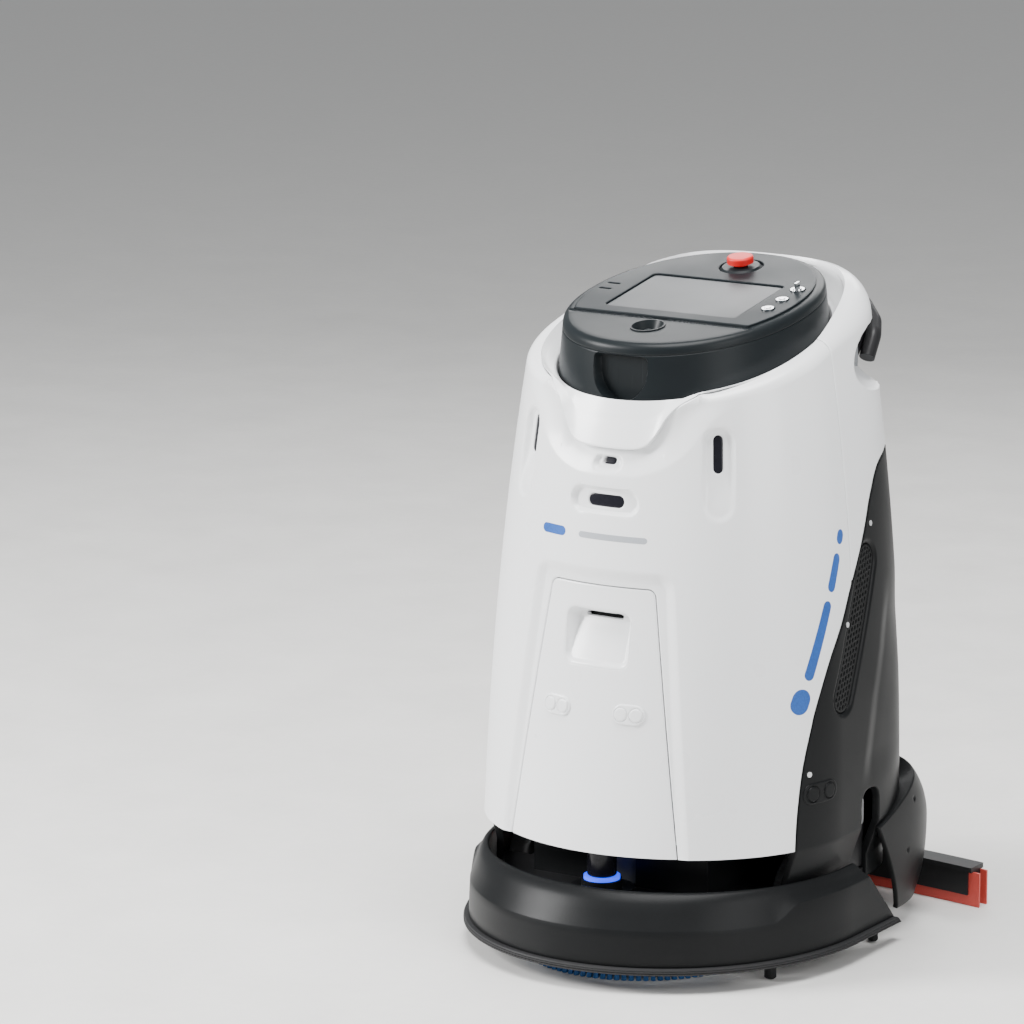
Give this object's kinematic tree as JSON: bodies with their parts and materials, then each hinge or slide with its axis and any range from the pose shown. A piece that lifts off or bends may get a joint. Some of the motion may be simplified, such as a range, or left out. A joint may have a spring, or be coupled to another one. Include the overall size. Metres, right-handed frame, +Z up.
{
  "type": "robotic floor scrubber",
  "caption": "Self-driving floor scrubber: tall rounded body, sloping touch console, half-round brush guard in front, drying squeegee behind.",
  "frame": {"origin": "on the floor, under the middle of the machine's box", "axes": "+Z up, -Y is the front, +X is the machine's left side"},
  "size_m": [0.662, 0.784, 1.0082],
  "materials": {
    "white_shell": "satin",
    "black_shell": "fine texture",
    "console_plastic": "satin",
    "panel_gloss": "gloss",
    "screen_glass": "gloss",
    "lens": "gloss",
    "rubber_black": "matte",
    "tyre_rubber": "matte",
    "blade_rubber": "satin",
    "bristle": "matte",
    "steel": "brushed",
    "chrome": "polished",
    "painted_black": "satin",
    "red_plastic": "satin",
    "tank_plastic": "matte",
    "battery_case": "matte",
    "grey_plastic": "satin",
    "brass": "polished",
    "light": "lit"
  },
  "bodies": {
    "chassis": {"front_shell": "white_shell", "rear_upper_shell": "white_shell", "rear_lower_shell": "black_shell", "rear_fender": "black_shell", "side_grilles": "black_shell", "front_cameras": "lens", "side_depth_sensors": "lens", "side_sensor_pods": "black_shell", "shell_screws": "steel", "chassis_plate": "painted_black", "neck_frame": "black_shell", "battery_pack": "battery_case", "solution_tank": "tank_plastic", "recovery_tank": "tank_plastic", "recovery_tank_cap": "battery_case", "vacuum_motor": "battery_case", "drive_motors": "steel", "wheel_arch_brackets": "steel", "push_handle": "painted_black", "handle_knuckles": "grey_plastic", "charge_contacts": "brass", "lidar_base": "black_shell", "light_ring": "light", "suction_socket": "black_shell", "door_hinge_pins": "steel"},
    "bumper": {"bumper_ring": "black_shell", "bumper_lip": "rubber_black"},
    "lidar_head": {"lidar_turret": "lens"},
    "brush_lift": {"brush_deck": "battery_case"},
    "brush": {"brush_disc": "battery_case", "brush_bristles": "bristle"},
    "wheel_left": {"wheel_hub_left": "grey_plastic", "tyre_left": "tyre_rubber"},
    "wheel_right": {"wheel_hub_right": "grey_plastic", "tyre_right": "tyre_rubber"},
    "caster_left": {"caster_fork_left": "steel"},
    "caster_roll_left": {"caster_wheel_left": "tyre_rubber"},
    "caster_right": {"caster_fork_right": "steel"},
    "caster_roll_right": {"caster_wheel_right": "tyre_rubber"},
    "squeegee_arm": {"lift_arm": "painted_black"},
    "squeegee": {"squeegee_carrier": "painted_black", "squeegee_clamps": "painted_black", "front_blade": "blade_rubber", "rear_blade": "blade_rubber", "suction_elbow": "black_shell"},
    "roller_left": {"squeegee_roller_left": "tyre_rubber"},
    "roller_right": {"squeegee_roller_right": "tyre_rubber"},
    "console_lid": {"console_housing": "console_plastic", "control_panel": "panel_gloss", "touch_screen": "screen_glass", "lens_well": "console_plastic", "stop_collar": "console_plastic", "switch_bezels": "chrome"},
    "stop_switch": {"stop_button": "red_plastic"},
    "key": {"key_switch": "chrome"},
    "start_switch": {"start_button": "chrome"},
    "pause_switch": {"pause_button": "chrome"},
    "front_door": {"door_panel": "white_shell", "door_pull": "white_shell", "sonar_pods": "white_shell"}
  },
  "joints": [
    {"name": "bumper_press", "type": "slide", "parent": "chassis", "child": "bumper", "axis": [0, 1, 0], "range_m": [0, 0.008], "stiffness_N_per_m": 5000, "springref_m": -0.004},
    {"name": "lidar_spin", "type": "hinge", "parent": "chassis", "child": "lidar_head", "pos_m": [0, -0.267, 0.16], "axis": [0, 0, 1], "continuous": true},
    {"name": "brush_deck_lift", "type": "slide", "parent": "chassis", "child": "brush_lift", "axis": [0, 0, 1], "range_m": [0, 0.022]},
    {"name": "brush_spin", "type": "hinge", "parent": "brush_lift", "child": "brush", "pos_m": [0, -0.159, 0.05], "axis": [0, 0, 1], "continuous": true},
    {"name": "wheel_left_spin", "type": "hinge", "parent": "chassis", "child": "wheel_left", "pos_m": [0.228, -0.055, 0.085], "axis": [1, 0, 0], "continuous": true},
    {"name": "caster_left_swivel", "type": "hinge", "parent": "chassis", "child": "caster_left", "pos_m": [0.15, 0.145, 0.108], "axis": [0, 0, 1], "continuous": true},
    {"name": "caster_left_roll", "type": "hinge", "parent": "caster_left", "child": "caster_roll_left", "pos_m": [0.15, 0.167, 0.036], "axis": [1, 0, 0], "continuous": true},
    {"name": "wheel_right_spin", "type": "hinge", "parent": "chassis", "child": "wheel_right", "pos_m": [-0.228, -0.055, 0.085], "axis": [1, 0, 0], "continuous": true},
    {"name": "caster_right_swivel", "type": "hinge", "parent": "chassis", "child": "caster_right", "pos_m": [-0.15, 0.145, 0.108], "axis": [0, 0, 1], "continuous": true},
    {"name": "caster_right_roll", "type": "hinge", "parent": "caster_right", "child": "caster_roll_right", "pos_m": [-0.15, 0.167, 0.036], "axis": [1, 0, 0], "continuous": true},
    {"name": "squeegee_lift", "type": "hinge", "parent": "chassis", "child": "squeegee_arm", "pos_m": [0, 0.195, 0.118], "axis": [1, 0, 0], "range_deg": [0, 8]},
    {"name": "squeegee_swivel", "type": "hinge", "parent": "squeegee_arm", "child": "squeegee", "pos_m": [0, 0.268, 0.058], "axis": [0, 0, 1], "range_deg": [-6, 6]},
    {"name": "roller_left_spin", "type": "hinge", "parent": "squeegee", "child": "roller_left", "pos_m": [0.15, 0.374, 0.018], "axis": [1, 0, 0], "continuous": true},
    {"name": "roller_right_spin", "type": "hinge", "parent": "squeegee", "child": "roller_right", "pos_m": [-0.15, 0.374, 0.018], "axis": [1, 0, 0], "continuous": true},
    {"name": "console_hinge", "type": "hinge", "parent": "chassis", "child": "console_lid", "pos_m": [0, 0.195, 0.988], "axis": [-1, 0, 0], "range_deg": [0, 65]},
    {"name": "stop_press", "type": "slide", "parent": "console_lid", "child": "stop_switch", "axis": [0, 0.1714, -0.9852], "range_m": [0, 0.005], "stiffness_N_per_m": 600, "springref_m": -0.002},
    {"name": "key_turn", "type": "hinge", "parent": "console_lid", "child": "key", "pos_m": [0.139, 0.053, 0.97278], "axis": [0, -0.1714, 0.9852], "range_deg": [0, 90]},
    {"name": "start_press", "type": "slide", "parent": "console_lid", "child": "start_switch", "axis": [0, 0.1714, -0.9852], "range_m": [0, 0.0015], "stiffness_N_per_m": 400, "springref_m": -0.001},
    {"name": "pause_press", "type": "slide", "parent": "console_lid", "child": "pause_switch", "axis": [0, 0.1714, -0.9852], "range_m": [0, 0.0015], "stiffness_N_per_m": 400, "springref_m": -0.001},
    {"name": "door_hinge", "type": "hinge", "parent": "chassis", "child": "front_door", "pos_m": [0, -0.299, 0.203], "axis": [1, 0, 0], "range_deg": [0, 55]}
  ]
}
